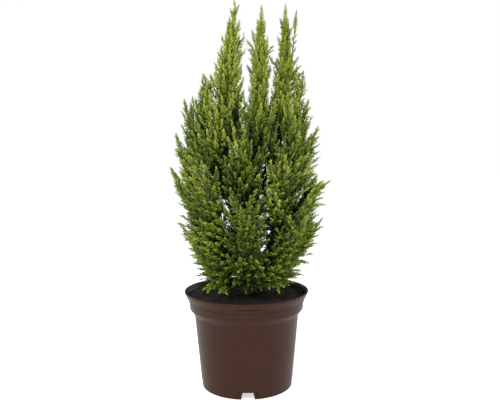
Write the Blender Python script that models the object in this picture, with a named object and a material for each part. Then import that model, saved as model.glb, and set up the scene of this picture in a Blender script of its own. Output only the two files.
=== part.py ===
"""Potted Ellwood's gold lawson cypress, a young multi-leader conifer in a brown nursery pot.

The origin is under the middle of the whole plant, on the surface that the pot stands on.
+Z is up, the side that is looked at is -Y, and every length below is in metres.
The sizes of the plant are given from the pot's axis, in millimetres, and then shifted sideways
by PLANT_SHIFT, because the branches reach further to one side of the pot than to the other.
"""

import math
import random

import bmesh
import bpy
from mathutils import Vector

MM = 0.001

# ---------------------------------------------------------------- driving sizes
POT_HEIGHT = 147.0 * MM
POT_RIM_RADIUS = 95.0 * MM
POT_WALL = 1.8 * MM
POT_SIDES = 40
POT_TURN = math.radians(1.25)
FOOT_HEIGHT = 10.4 * MM
NOTCH_HEIGHT = 10.0 * MM
NOTCH_WIDTH_LOW = 20.0 * MM
NOTCH_WIDTH_HIGH = 15.7 * MM
PANEL_HALF_ANGLE = math.radians(12.6)
PANEL_HEIGHT = 12.4 * MM
SLOT_HALF_ANGLE = math.radians(11.0)
SLOT_HEIGHT = 138.4 * MM

SOIL_LEVEL = 140.2 * MM
GAP = 0.3 * MM

PLANT_SHIFT = Vector((-8.0 * MM, 0.0, 0.0))

# outer side of the pot from the foot to the lip: radius, height
POT_OUTSIDE = (
    (69.3, 0.0), (70.9, 16.0), (79.75, 110.4),
    (80.6, 112.4), (84.4, 117.4), (86.7, 120.4), (87.6, 129.4),
    (90.2, 135.9), (90.7, 137.0), (92.0, 139.4), (94.2, 143.8), (95.0, 146.2), (94.6, 147.0),
)


def mm(*values):
    return Vector(values) * MM


# ---------------------------------------------------------------- limbs
# Each limb is a smooth run through a few places (x, y, z in mm) and tapers from one radius to
# another. The trunk is also the middle leader; the other two leaders fork from it low down.
LIMBS = {
    "trunk": dict(
        through=((0, 0, 140.5), (0.6, 0.4, 158), (2.5, 1.2, 212), (7, 2, 268), (13, 1.5, 330),
                 (18, 0.5, 392), (21, 0, 450), (24, 0, 510), (25.4, 0, 560)),
        radii=((0.0, 8.6), (0.012, 6.9), (0.04, 5.4), (0.17, 4.6), (0.5, 3.2), (0.85, 1.6), (1.0, 0.8)),
        rings=17, flare=0.16),
    "leader_left": dict(
        through=((2.2, 1.2, 203), (-9, 3, 232), (-22, 4, 272), (-31, 3, 330), (-34, 1, 392),
                 (-30.5, 0, 452), (-22, 0, 505), (-15, 0, 564)),
        radii=((0.0, 3.5), (0.4, 2.7), (0.8, 1.6), (1.0, 0.8)), rings=14, flare=0.0),
    "leader_right": dict(
        through=((3.6, 1.4, 226), (16, 2, 254), (31, 3, 296), (44, 3, 350), (54, 1.5, 404),
                 (59.5, 0, 458), (60.5, 0, 512), (61.3, 0, 559)),
        radii=((0.0, 3.3), (0.4, 2.6), (0.8, 1.5), (1.0, 0.8)), rings=14, flare=0.0),
}

# ---------------------------------------------------------------- foliage masses
# name: limb that carries it, height where its bough leaves the limb, foot and tip of the mass
# from the pot's axis, greatest half width across and greatest half depth (mm), where along its
# length it is widest, and how far it bows outward.
# A mass with no height for a bough is strung on its leader, which runs up inside it.
MASSES = {
    "spire_left": ("leader_left", None, (-40, 2, 322), (-13.5, 0, 582), 31, 27, 0.42, 0),
    "spire_middle": ("trunk", None, (14, 1, 312), (25.7, 0, 576), 21, 25, 0.36, 0),
    "spire_right": ("leader_right", None, (55, 3, 334), (61.5, 0, 577), 25, 26, 0.40, 0),
    "spire_right_side": ("leader_right", 480, (71, 0, 499), (77.6, 0, 567.5), 8, 8, 0.40, 0),
    "spire_right_outer": ("leader_right", 376, (76, 2, 400), (87.5, 0, 478), 20, 22, 0.42, 2),
    "spire_left_outer": ("leader_left", 340, (-60, 2, 366), (-62.5, 0, 475), 20, 24, 0.42, 2),

    "left_upper": ("leader_left", 262, (-55, 2, 284), (-90.5, 0, 436), 36, 28, 0.45, 2),
    "left_side": ("leader_left", 232, (-56, 3, 246), (-105, 2, 386), 40, 30, 0.45, 2),
    "left_low": ("trunk", 181, (-50, 3, 204), (-112.5, 0, 334), 44, 36, 0.45, 2),
    "right_upper": ("leader_right", 324, (75, 3, 344), (95.5, 0, 436), 32, 27, 0.42, 0),
    "right_outer": ("leader_right", 278, (70, 3, 294), (110, 0, 396), 40, 32, 0.50, 0),
    "right_reach": ("leader_right", 236, (60, 2, 248), (128.3, 0, 314), 44, 36, 0.40, -4),

    "front_left_upper": ("leader_left", 286, (-35, -32, 304), (-38, -62, 413), 31, 28, 0.40, 5),
    "front_right_upper": ("trunk", 292, (16, -32, 308), (22.5, -62, 425), 28, 27, 0.40, 5),
    "front_far_right": ("leader_right", 302, (62, -32, 320), (70, -56, 408), 28, 26, 0.40, 4),
    "front_centre": ("trunk", 248, (-6, -38, 260), (0, -86, 388), 30, 30, 0.42, 6),
    "front_left": ("trunk", 193, (-38, -38, 226), (-60, -86, 346), 34, 32, 0.42, 6),
    "front_right": ("leader_right", 250, (42, -42, 258), (56, -88, 352), 34, 32, 0.42, 6),
    "back_left": ("leader_left", 282, (-34, 36, 296), (-36, 64, 420), 42, 32, 0.42, 6),
    "back_right": ("leader_right", 298, (42, 36, 312), (48, 66, 430), 42, 32, 0.42, 6),
    "back_centre": ("trunk", 232, (2, 40, 242), (4, 98, 362), 42, 34, 0.42, 6),

    "skirt_front": ("trunk", 161, (2, -32, 162), (-6, -103, 284), 36, 40, 0.36, 6),
    "skirt_front_left": ("trunk", 155, (-32, -30, 158), (-84, -58, 244), 32, 34, 0.40, 2),
    "skirt_front_right": ("trunk", 168, (36, -30, 174), (88, -62, 268), 33, 36, 0.40, 2),
    "skirt_left": ("trunk", 162, (-40, 10, 166), (-104, 10, 250), 40, 36, 0.44, 0),
    "skirt_right": ("trunk", 156, (40, 8, 160), (118, 4, 256), 42, 38, 0.44, 0),
    "skirt_back_left": ("trunk", 172, (-32, 30, 176), (-74, 72, 266), 40, 38, 0.40, 4),
    "skirt_back_right": ("trunk", 170, (38, 30, 176), (84, 72, 272), 40, 38, 0.40, 4),
    "skirt_back": ("trunk", 160, (2, 34, 162), (4, 103, 268), 40, 40, 0.38, 4),
}

# The crown's outline: height, how far it reaches to the left, to the right, and to front and back.
CROWN = (
    (147, 60, 64, 62), (165, 75, 82, 76), (185, 82, 94, 86), (210, 90, 104, 95), (230, 98, 110, 101),
    (250, 104, 118, 105), (290, 106, 124, 108), (314, 109, 129, 108), (335, 113, 113, 106),
    (360, 107, 113, 102), (388, 105, 111, 93), (405, 98, 107, 82), (436, 91, 97, 62), (460, 68, 88, 46),
    (480, 60, 88, 36), (500, 46, 81, 30), (530, 35, 76, 25), (567, 24, 78, 18), (583, 17, 64, 12),
)

MASS_SIDES = 9
MASS_RINGS = 9
BOUGH_SIDES = 6
BOUGH_RINGS = 4
BARE_CORE = 9.0 * MM        # no foliage nearer than this to the middle of a limb
MASS_GAP = 0.35 * MM        # on each side of the plane between two masses
SOIL_CLEARANCE = 7.0 * MM   # the lowest foliage hangs this far over the soil


# ---------------------------------------------------------------- scene and materials
for old in list(bpy.data.objects):
    bpy.data.objects.remove(old, do_unlink=True)


def material(name, colour, roughness):
    made = bpy.data.materials.new(name)
    made.use_nodes = True
    shader = made.node_tree.nodes["Principled BSDF"]
    shader.inputs["Base Color"].default_value = (*colour, 1.0)
    shader.inputs["Roughness"].default_value = roughness
    shader.inputs["Metallic"].default_value = 0.0
    return made


BARK = (0.10, 0.052, 0.030)
GOLD_GREEN = (0.20, 0.27, 0.045)


def add_object(name, points, faces, finish, hidden=False, smooth_angle=None):
    """A closed mesh object in the scene; its faces are turned to point outward."""
    mesh = bpy.data.meshes.new(name)
    mesh.from_pydata([tuple(p) for p in points], [], faces)
    work = bmesh.new()
    work.from_mesh(mesh)
    bmesh.ops.recalc_face_normals(work, faces=work.faces)
    work.to_mesh(mesh)
    work.free()
    made = bpy.data.objects.new(name, mesh)
    bpy.context.scene.collection.objects.link(made)
    if finish:
        mesh.materials.append(finish)
    if smooth_angle:
        mesh.shade_smooth()
        mesh.set_sharp_from_angle(angle=smooth_angle)
    if hidden:
        made.hide_render = True
        made.display_type = "WIRE"
    return made


def cut(target, cutter):
    modifier = target.modifiers.new("cut_" + cutter.name, "BOOLEAN")
    modifier.operation = "DIFFERENCE"
    modifier.solver = "EXACT"
    modifier.object = cutter


# ---------------------------------------------------------------- turned shapes
def turned(profile, sides, turn=0.0, bump=None):
    """A solid of revolution. The profile runs from the axis round to the axis."""
    points, faces, rings = [], [], []
    for k, (radius, height) in enumerate(profile):
        if radius == 0.0:
            rings.append([len(points)])
            points.append(Vector((0.0, 0.0, height)))
            continue
        rings.append(list(range(len(points), len(points) + sides)))
        for i in range(sides):
            angle = 2 * math.pi * i / sides + turn
            rise = bump(k, i) if bump else 0.0
            points.append(Vector((radius * math.cos(angle), radius * math.sin(angle), height + rise)))
    for low, high in zip(rings, rings[1:]):
        for i in range(sides):
            j = (i + 1) % sides
            if len(low) == 1:
                faces.append((low[0], high[i], high[j]))
            elif len(high) == 1:
                faces.append((low[i], high[0], low[j]))
            else:
                faces.append((low[i], high[i], high[j], low[j]))
    return points, faces


def sector(r_in, r_out, low, high, middle, half, steps):
    """A slice of a ring, between two radii, two heights and two angles."""
    points, faces = [], []
    for k in range(steps + 1):
        angle = middle - half + 2 * half * k / steps
        for radius, height in ((r_in, low), (r_out, low), (r_out, high), (r_in, high)):
            points.append(Vector((radius * math.cos(angle), radius * math.sin(angle), height)))
    for k in range(steps):
        a, b = 4 * k, 4 * (k + 1)
        for i in range(4):
            j = (i + 1) % 4
            faces.append((a + i, b + i, b + j, a + j))
    faces.append((0, 1, 2, 3))
    last = 4 * steps
    faces.append((last + 3, last + 2, last + 1, last))
    return points, faces


def moved(points, shift):
    return [p + shift for p in points]


# ---------------------------------------------------------------- pot
def inside_of(profile, wall):
    """The inner side of the wall, as radius and height, from the floor up to the lip."""
    floor = FOOT_HEIGHT + POT_WALL
    slope = (profile[2][0] - profile[1][0]) / (profile[2][1] - profile[1][1])
    start = profile[1][0] + slope * (floor - profile[1][1])
    run = [(start - wall, floor)]
    for radius, height in profile[2:-3:2]:
        if height < POT_HEIGHT - 3.6 * MM:
            run.append((radius - wall, height - 0.4 * wall))
    return run


outside = [(r * MM, h * MM) for r, h in POT_OUTSIDE]
inner = inside_of(outside, POT_WALL)
pot_profile = [(0.0, FOOT_HEIGHT), (outside[0][0] - POT_WALL - 0.5 * MM, FOOT_HEIGHT),
               (outside[0][0] - POT_WALL, 0.0)]
pot_profile += outside
pot_profile += [(POT_RIM_RADIUS - 1.5 * MM, POT_HEIGHT), (POT_RIM_RADIUS - 2.1 * MM, POT_HEIGHT - 0.9 * MM)]
pot_profile += list(reversed(inner))
pot_profile += [(0.0, FOOT_HEIGHT + POT_WALL)]

points, faces = turned(pot_profile, POT_SIDES)
pot = add_object("pot", moved(points, PLANT_SHIFT), faces, material("pot_plastic", (0.068, 0.030, 0.022), 0.42),
                 smooth_angle=math.radians(35))

for k in range(4):
    angle = -math.pi / 2 + POT_TURN + k * math.pi / 2
    points, faces = sector(outside[0][0] - 0.75 * MM, outside[0][0] + 6 * MM, -2 * MM, PANEL_HEIGHT,
                           angle, PANEL_HALF_ANGLE, 6)
    cut(pot, add_object(f"panel_{k}", moved(points, PLANT_SHIFT), faces, None, hidden=True))
    out = Vector((math.cos(angle), math.sin(angle), 0.0))
    side = Vector((-out.y, out.x, 0.0))
    spread = (NOTCH_WIDTH_LOW - NOTCH_WIDTH_HIGH) / NOTCH_HEIGHT
    points = []
    for reach in (58 * MM, 78 * MM):
        for height, sign in ((-2 * MM, -1), (-2 * MM, 1), (NOTCH_HEIGHT, 1), (NOTCH_HEIGHT, -1)):
            half = (NOTCH_WIDTH_LOW - spread * height) / 2
            points.append(out * reach + side * (sign * half) + Vector((0, 0, height)))
    faces = [(0, 1, 2, 3), (7, 6, 5, 4), (0, 4, 5, 1), (1, 5, 6, 2), (2, 6, 7, 3), (3, 7, 4, 0)]
    cut(pot, add_object(f"notch_{k}", moved(points, PLANT_SHIFT), faces, None, hidden=True))

points, faces = sector(90.7 * MM, 96 * MM, SLOT_HEIGHT - 0.75 * MM, SLOT_HEIGHT + 0.75 * MM,
                       -math.pi / 2 + POT_TURN, SLOT_HALF_ANGLE, 6)
cut(pot, add_object("label_slot", moved(points, PLANT_SHIFT), faces, None, hidden=True))

# ---------------------------------------------------------------- soil
# The compost fills the pot to a little under the lip and is level round the stem.
chance = random.Random(31)
soil_sides = 24
shrink = math.cos(math.pi / POT_SIDES)
soil_wall = [(r * shrink - GAP, h + GAP) for r, h in inner if h < SOIL_LEVEL - 6 * MM]
top_radius = soil_wall[-1][0] + 1.0 * MM
soil_profile = [(0.0, soil_wall[0][1])] + soil_wall
soil_profile += [(top_radius, SOIL_LEVEL - 1.6 * MM), (70 * MM, SOIL_LEVEL - 0.6 * MM),
                 (45 * MM, SOIL_LEVEL + 0.2 * MM), (20 * MM, SOIL_LEVEL), (0.0, SOIL_LEVEL)]
first_free = len(soil_profile) - 4


def clods(ring, step):
    return chance.uniform(-0.9, 0.9) * MM if ring in (first_free, first_free + 1) else 0.0


points, faces = turned(soil_profile, soil_sides, bump=clods)
add_object("soil", moved(points, PLANT_SHIFT), faces, material("soil_compost", (0.012, 0.010, 0.009), 0.95))


# ---------------------------------------------------------------- limbs
def smooth_run(places, count):
    """Evenly spread points on a Catmull-Rom curve through the places."""
    places = [Vector(p) for p in places]
    ends = [places[0] * 2 - places[1]] + places + [places[-1] * 2 - places[-2]]
    dense = []
    for k in range(1, len(ends) - 2):
        p0, p1, p2, p3 = ends[k - 1:k + 3]
        for s in range(24):
            t = s / 24
            dense.append(0.5 * ((2 * p1) + (p2 - p0) * t + (2 * p0 - 5 * p1 + 4 * p2 - p3) * t * t
                                + (3 * p1 - p0 - 3 * p2 + p3) * t ** 3))
    dense.append(places[-1])
    length = [0.0]
    for a, b in zip(dense, dense[1:]):
        length.append(length[-1] + (b - a).length)
    run, k = [], 0
    for i in range(count):
        want = length[-1] * i / (count - 1)
        while k < len(dense) - 2 and length[k + 1] < want:
            k += 1
        step = length[k + 1] - length[k]
        run.append(dense[k].lerp(dense[k + 1], (want - length[k]) / step if step else 0.0))
    return run


def taper(stops, t):
    for (t0, r0), (t1, r1) in zip(stops, stops[1:]):
        if t <= t1:
            return r0 + (r1 - r0) * (t - t0) / (t1 - t0)
    return stops[-1][1]


def tube(run, radii, sides, level_start=False, lobes=None, end_way=None):
    """A round limb along a run of points, with flat ends."""
    points, faces, across = [], [], None
    for k, centre in enumerate(run):
        along = (run[min(k + 1, len(run) - 1)] - run[max(k - 1, 0)]).normalized()
        if level_start and k == 0:
            along = Vector((0, 0, 1))
        if end_way and k == len(run) - 1:
            along = end_way
        if across is None:
            across = along.orthogonal()
        across = (across - along * across.dot(along)).normalized()
        over = along.cross(across)
        for i in range(sides):
            angle = 2 * math.pi * i / sides
            radius = radii[k] * (1 + (lobes(k, angle) if lobes else 0.0))
            points.append(centre + (across * math.cos(angle) + over * math.sin(angle)) * radius)
    for k in range(len(run) - 1):
        for i in range(sides):
            j = (i + 1) % sides
            faces.append((k * sides + i, k * sides + j, (k + 1) * sides + j, (k + 1) * sides + i))
    faces.append(tuple(range(sides)))
    faces.append(tuple(reversed(range((len(run) - 1) * sides, len(run) * sides))))
    return points, faces


limb_runs, limb_radii, limb_cutters, limb_objects = {}, {}, {}, {}
for name, limb in LIMBS.items():
    run = [p * MM + PLANT_SHIFT for p in smooth_run(limb["through"], limb["rings"])]
    if name == "trunk":
        extra = [run[0].lerp(run[1], s) for s in (0.22, 0.55)]
        run = [run[0]] + extra + run[1:]
    total = sum((b - a).length for a, b in zip(run, run[1:]))
    along, shares = 0.0, [0.0]
    for a, b in zip(run, run[1:]):
        along += (b - a).length
        shares.append(along / total)
    radii = [taper(limb["radii"], s) * MM for s in shares]
    flare = limb["flare"]

    def roots(k, angle, shares=shares, flare=flare):
        return flare * math.exp(-shares[k] / 0.02) * math.cos(4 * angle + 0.6) if flare else 0.0

    points, faces = tube(run, radii, 8, level_start=name == "trunk", lobes=roots)
    limb_objects[name] = add_object(name, points, faces, material(name + "_bark", BARK, 0.85),
                                    smooth_angle=math.radians(50))
    wide = [r + 0.45 * MM for r in radii]
    points, faces = tube([run[0] - Vector((0, 0, 2 * MM))] + run[1:-1] + [run[-1] + (run[-1] - run[-2]).normalized() * 0.6 * MM],
                         wide, 8, level_start=name == "trunk", lobes=roots)
    limb_cutters[name] = add_object("round_" + name, points, faces, None, hidden=True)
    limb_runs[name], limb_radii[name] = run, radii

for name in ("leader_left", "leader_right"):
    cut(limb_objects[name], limb_cutters["trunk"])


def on_limb(name, height):
    """The point on a limb's middle line at a height, and the limb's direction there."""
    run = limb_runs[name]
    for k in range(len(run) - 1):
        if run[k].z <= height <= run[k + 1].z:
            t = (height - run[k].z) / (run[k + 1].z - run[k].z)
            return run[k].lerp(run[k + 1], t), limb_radii[name][k] * (1 - t) + limb_radii[name][k + 1] * t
    raise ValueError(f"{name} has no point at {height}")


# ---------------------------------------------------------------- boughs
def bough_run(limb, height, foot, tip):
    """A bough leaves its limb outward and rising, and turns up into the foot of its mass."""
    start, thick = on_limb(limb, height * MM)
    end_way = (tip - foot).normalized()
    end = foot - end_way * GAP
    reach = (end - start).length
    out = Vector((end.x - start.x, end.y - start.y, 0.0)).normalized()
    first = start + (out + Vector((0, 0, 0.35))).normalized() * reach * 0.36
    last = end - end_way * reach * 0.34
    run = []
    for k in range(BOUGH_RINGS):
        t = k / (BOUGH_RINGS - 1)
        run.append(start * (1 - t) ** 3 + first * 3 * t * (1 - t) ** 2 + last * 3 * t * t * (1 - t) + end * t ** 3)
    return run, thick


spines, boughs, bough_cutters = {}, {}, {}
for name, (limb, height, foot, tip, wide, deep, widest, bow) in MASSES.items():
    foot, tip = mm(*foot) + PLANT_SHIFT, mm(*tip) + PLANT_SHIFT
    spines[name] = (foot, tip)
    if height is None:
        continue
    run, thick = bough_run(limb, height, foot, tip)
    first, last = min(0.72 * thick, 2.6 * MM), min(0.46 * thick, 1.5 * MM)
    radii = [first + (last - first) * k / (BOUGH_RINGS - 1) for k in range(BOUGH_RINGS)]
    points, faces = tube(run, radii, BOUGH_SIDES, end_way=(tip - foot).normalized())
    bough = add_object("bough_" + name, points, faces, material("bough_" + name + "_bark", BARK, 0.85),
                       smooth_angle=math.radians(50))
    cut(bough, limb_cutters[limb])
    boughs[name] = (run, radii)
    points, faces = tube(run[:-1] + [run[-1] + (tip - foot).normalized() * 2 * MM], [r + 0.45 * MM for r in radii], BOUGH_SIDES)
    bough_cutters[name] = add_object("round_bough_" + name, points, faces, None, hidden=True)


# ---------------------------------------------------------------- foliage masses
def nearest(a0, a1, b0, b1):
    """The nearest points of two straight segments."""
    da, db, r = a1 - a0, b1 - b0, a0 - b0
    aa, bb, ab, ar, br = da.dot(da), db.dot(db), da.dot(db), da.dot(r), db.dot(r)
    full = aa * bb - ab * ab
    s = min(1.0, max(0.0, (ab * br - bb * ar) / full)) if full > 1e-15 else 0.0
    t = (ab * s + br) / bb
    if t < 0.0:
        t, s = 0.0, min(1.0, max(0.0, -ar / aa))
    elif t > 1.0:
        t, s = 1.0, min(1.0, max(0.0, (ab - ar) / aa))
    return a0 + da * s, b0 + db * t


def strung_round(name, other):
    """Whether this mass is strung on the limb that the other mass's bough leaves inside it."""
    limb, height = MASSES[name][:2]
    return height is None and MASSES[other][0] == limb and MASSES[other][1] * MM > spines[name][0].z - 12 * MM


def walls_round(name):
    """Planes that part this mass from every other mass, bough and limb: (normal, reach)."""
    foot, tip = spines[name]
    girth = MASSES[name][4] + MASSES[name][5]
    planes = []
    for other, (low, high) in spines.items():
        if other == name:
            continue
        here, there = nearest(foot, tip, low, high)
        way = there - here
        share = girth / (girth + MASSES[other][4] + MASSES[other][5])
        planes.append((way.normalized(), here + way * share, MASS_GAP))
    for other, (run, radii) in boughs.items():
        for k in range(len(run) - 1):
            here, there = nearest(foot, tip, run[k], run[k + 1])
            way = there - here
            if other == name:
                if k == len(run) - 2:
                    way = (foot - tip).normalized()
                    planes.append((way, foot, 0.0))
                continue
            if way.length > 1e-6 and not strung_round(name, other):
                planes.append((way.normalized(), there, max(radii[k], radii[k + 1]) + 2 * MASS_GAP))
    for limb, run in limb_runs.items():
        if limb == MASSES[name][0] and MASSES[name][1] is None:
            continue
        for k in range(len(run) - 1):
            here, there = nearest(foot, tip, run[k], run[k + 1])
            way = there - here
            room = min(max(limb_radii[limb][k] + 2 * MASS_GAP, BARE_CORE), 0.7 * way.length)
            planes.append((way.normalized(), there, room))
    planes.append((Vector((0, 0, -1)), Vector((0, 0, SOIL_LEVEL + SOIL_CLEARANCE)), 0.0))
    return [(normal, normal.dot(place) - room) for normal, place, room in planes]


def reach_at(height):
    """How far the crown reaches left, right, and to front and back at a height."""
    stops = [(z * MM, left * MM, right * MM, deep * MM) for z, left, right, deep in CROWN]
    height = min(max(height, stops[0][0]), stops[-1][0])
    for low, high in zip(stops, stops[1:]):
        if height <= high[0]:
            t = (height - low[0]) / (high[0] - low[0])
            return [a + (b - a) * t for a, b in zip(low[1:], high[1:])]
    return list(stops[-1][1:])


def within_crown(place):
    left, right, deep = reach_at(place.z)
    x, y = place.x - PLANT_SHIFT.x, place.y
    return (x / (right if x > 0 else left)) ** 2 + (y / deep) ** 2 <= 1.0


def flame(t, widest):
    """Half width along a plume: full low down, drawn out to a point above."""
    if t < widest:
        return 0.42 + 0.58 * math.sin(0.5 * math.pi * t / widest) ** 0.7
    return max(0.03, math.cos(0.5 * math.pi * (t - widest) / (1 - widest))) ** 0.75


for number, (name, (limb, height, _, _, wide, deep, widest, bow)) in enumerate(MASSES.items()):
    chance = random.Random(400 + number)
    foot, tip = spines[name]
    along = (tip - foot).normalized()
    middle = (foot + tip) / 2 - PLANT_SHIFT
    out = Vector((middle.x, middle.y, 0.0))
    if height is None or out.length < 1 * MM:
        out = Vector((0.0, -1.0, 0.0))
    out = (out - along * out.dot(along)).normalized()
    side = along.cross(out)
    if height is None:
        out, side = Vector((0.0, -1.0, 0.0)), Vector((1.0, 0.0, 0.0))
    planes = walls_round(name)
    points, faces = [], []
    phase, twist = chance.uniform(0, 6.28), chance.uniform(-0.5, 0.5)
    for k in range(MASS_RINGS):
        t = k / (MASS_RINGS - 1)
        spot = foot.lerp(tip, t)
        full = flame(t, widest) if 0 < k < MASS_RINGS - 1 else 0.0
        lean = out * (bow * MM * 4 * t * (1 - t))
        for i in range(MASS_SIDES):
            angle = 2 * math.pi * i / MASS_SIDES + 0.3 * (k % 2)
            lobe = 1 + 0.13 * math.cos(3 * angle + phase + 5 * t) + 0.10 * math.cos(2 * angle - 2 * phase) \
                + chance.uniform(-0.13, 0.13)
            half_side, half_out = max(wide * full * lobe, 1.6) * MM, max(deep * full * lobe, 1.6) * MM
            if k == MASS_RINGS - 1:
                half_side = half_out = 0.9 * MM
            elif k == 0:
                half_side = half_out = 3.0 * MM
            shape = side * (math.cos(angle) * half_side) + out * (math.sin(angle) * half_out)
            lift = along * (chance.uniform(-0.22, 0.22) * (tip - foot).length / (MASS_RINGS - 1) if 0 < k < MASS_RINGS - 1 else 0.0)
            shape = shape + lean + lift
            keep = 1.0
            for normal, reach in planes:
                over, base = normal.dot(shape), normal.dot(spot)
                if over > 0 and base + over > reach:
                    keep = min(keep, max(0.0, (reach - base) / over))
            while keep > 0.3 and not within_crown(spot + shape * keep):
                keep *= 0.94
            points.append(spot + shape * keep)
    for k in range(MASS_RINGS - 1):
        for i in range(MASS_SIDES):
            j = (i + 1) % MASS_SIDES
            faces.append((k * MASS_SIDES + i, k * MASS_SIDES + j, (k + 1) * MASS_SIDES + j, (k + 1) * MASS_SIDES + i))
    faces.append(tuple(range(MASS_SIDES)))
    faces.append(tuple(reversed(range((MASS_RINGS - 1) * MASS_SIDES, MASS_RINGS * MASS_SIDES))))
    mass = add_object(name, points, faces, material(name + "_leaves", GOLD_GREEN, 0.8))
    if height is None:
        cut(mass, limb_cutters[limb])
        for other in boughs:
            if strung_round(name, other):
                cut(mass, bough_cutters[other])
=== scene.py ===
import math
import random
from bisect import bisect_right

import bmesh
import bpy
import numpy as np
from mathutils import Matrix, Vector, noise


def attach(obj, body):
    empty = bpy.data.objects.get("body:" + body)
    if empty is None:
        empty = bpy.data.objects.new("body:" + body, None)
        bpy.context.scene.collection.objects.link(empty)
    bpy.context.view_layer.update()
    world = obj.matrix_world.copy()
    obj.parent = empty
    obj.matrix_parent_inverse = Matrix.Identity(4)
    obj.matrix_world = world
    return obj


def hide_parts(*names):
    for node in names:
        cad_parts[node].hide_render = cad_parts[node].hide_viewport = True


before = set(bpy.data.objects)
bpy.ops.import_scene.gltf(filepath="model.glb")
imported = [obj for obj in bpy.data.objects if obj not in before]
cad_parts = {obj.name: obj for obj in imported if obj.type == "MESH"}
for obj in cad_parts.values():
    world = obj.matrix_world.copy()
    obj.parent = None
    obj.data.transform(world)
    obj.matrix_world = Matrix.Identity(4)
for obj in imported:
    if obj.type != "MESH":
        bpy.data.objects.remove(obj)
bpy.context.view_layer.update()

# The sizes of the plant are given in millimetres from the pot's axis, which stands 8 mm to the
# left of the middle of the whole plant's box.
MM = 0.001
AXIS = Vector((-8.0, 0.0, 0.0))
chance = random.Random(7104)


def metres(points):
    """Points in mm from the pot's axis, as an array in metres in the row's frame."""
    return (np.asarray(points, float).reshape(-1, 3) + np.array(AXIS)) * MM


# ================================================================ camera
# Pot and plant seen level with the crown, from the front, looking a little down.
FOCAL_PX, IMAGE_WIDTH = 606.56, 500.0
CAMERA_AT = Vector((0.0065 - 0.008, -0.92158, 0.36156))
PITCH, ROLL = 0.08273, 0.00729

camera_data = bpy.data.cameras.new("camera")
camera_data.sensor_fit = "HORIZONTAL"
camera_data.sensor_width = 36.0
camera_data.lens = FOCAL_PX / IMAGE_WIDTH * 36.0
camera_data.clip_start, camera_data.clip_end = 0.01, 60.0
camera = bpy.data.objects.new("camera", camera_data)
bpy.context.scene.collection.objects.link(camera)
ahead = Vector((0, math.cos(PITCH), -math.sin(PITCH)))
up = Vector((0, math.sin(PITCH), math.cos(PITCH)))
turn = Matrix((Vector((1, 0, 0)), up, -ahead)).transposed() @ Matrix.Rotation(-ROLL, 3, "Z")
camera.matrix_world = Matrix.Translation(CAMERA_AT) @ turn.to_4x4()
bpy.context.scene.camera = camera


# ================================================================ materials
def plain(name, colour, roughness, specular=0.5):
    """One colour all over."""
    made = bpy.data.materials.new(name)
    made.use_nodes = True
    shader = made.node_tree.nodes["Principled BSDF"]
    shader.inputs["Base Color"].default_value = (*colour, 1.0)
    shader.inputs["Roughness"].default_value = roughness
    shader.inputs["Specular IOR Level"].default_value = specular
    made.diffuse_color = (*colour, 1.0)
    return made


def mottled(name, dark, light, scale, detail, roughness, specular=0.5, stretch=(1, 1, 1),
            bump=0.0, bump_scale=None, spread=(0.35, 0.65), rough_spread=0.0):
    """Two colours through noise in the object's own space, with a fine relief."""
    made = plain(name, tuple((a + b) / 2 for a, b in zip(dark, light)), roughness, specular)
    nodes, links = made.node_tree.nodes, made.node_tree.links
    shader = nodes["Principled BSDF"]
    place = nodes.new("ShaderNodeTexCoord")
    squeeze = nodes.new("ShaderNodeMapping")
    squeeze.inputs["Scale"].default_value = stretch
    links.new(place.outputs["Object"], squeeze.inputs["Vector"])
    cloud = nodes.new("ShaderNodeTexNoise")
    cloud.inputs["Scale"].default_value = scale
    cloud.inputs["Detail"].default_value = detail
    cloud.inputs["Roughness"].default_value = 0.6
    links.new(squeeze.outputs["Vector"], cloud.inputs["Vector"])
    ramp = nodes.new("ShaderNodeValToRGB")
    ramp.color_ramp.elements[0].position, ramp.color_ramp.elements[1].position = spread
    ramp.color_ramp.elements[0].color = (*dark, 1)
    ramp.color_ramp.elements[1].color = (*light, 1)
    links.new(cloud.outputs["Fac"], ramp.inputs["Fac"])
    links.new(ramp.outputs["Color"], shader.inputs["Base Color"])
    if rough_spread:
        span = nodes.new("ShaderNodeMapRange")
        span.inputs["To Min"].default_value = roughness - rough_spread
        span.inputs["To Max"].default_value = roughness + rough_spread
        links.new(cloud.outputs["Fac"], span.inputs["Value"])
        links.new(span.outputs["Result"], shader.inputs["Roughness"])
    if bump:
        grain = nodes.new("ShaderNodeTexNoise")
        grain.inputs["Scale"].default_value = bump_scale or scale * 3
        grain.inputs["Detail"].default_value = 4.0
        links.new(squeeze.outputs["Vector"], grain.inputs["Vector"])
        relief = nodes.new("ShaderNodeBump")
        relief.inputs["Strength"].default_value = bump
        relief.inputs["Distance"].default_value = 0.0004
        links.new(grain.outputs["Fac"], relief.inputs["Height"])
        links.new(relief.outputs["Normal"], shader.inputs["Normal"])
    return made


# The foliage has one row of plain colours, from the pale gold of the newest tips to a near black green. Each
# spray is dealt a place in the row. The row's darker end is painted shade, dealt to fingers deep in the crown.
TONES = (
    (0.530, 0.580, 0.110),
    (0.375, 0.460, 0.055),
    (0.250, 0.345, 0.032),
    (0.158, 0.238, 0.022),
    (0.094, 0.153, 0.016),
    (0.052, 0.090, 0.012),
    (0.028, 0.048, 0.008),
    (0.018, 0.028, 0.007),
    (0.010, 0.014, 0.005),
)
leaf_tones = [plain(f"foliage_tone_{k}", tone, 0.50, 0.30) for k, tone in enumerate(TONES)]
# The twigs' tones run from this year's shoot to wood; twigs are also dealt darker tones the deeper they lie, and the
# darkest is painted shade deep in the crown.
TWIG_TONES = (
    (0.230, 0.260, 0.055),   # this year's shoot
    (0.110, 0.120, 0.032),
    (0.070, 0.052, 0.024),   # turning to wood
    (0.040, 0.024, 0.014),
    (0.016, 0.011, 0.008),   # deep in the crown
)
twig_tones = [plain(f"twig_tone_{k}", tone, 0.62, 0.3) for k, tone in enumerate(TWIG_TONES)]
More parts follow.
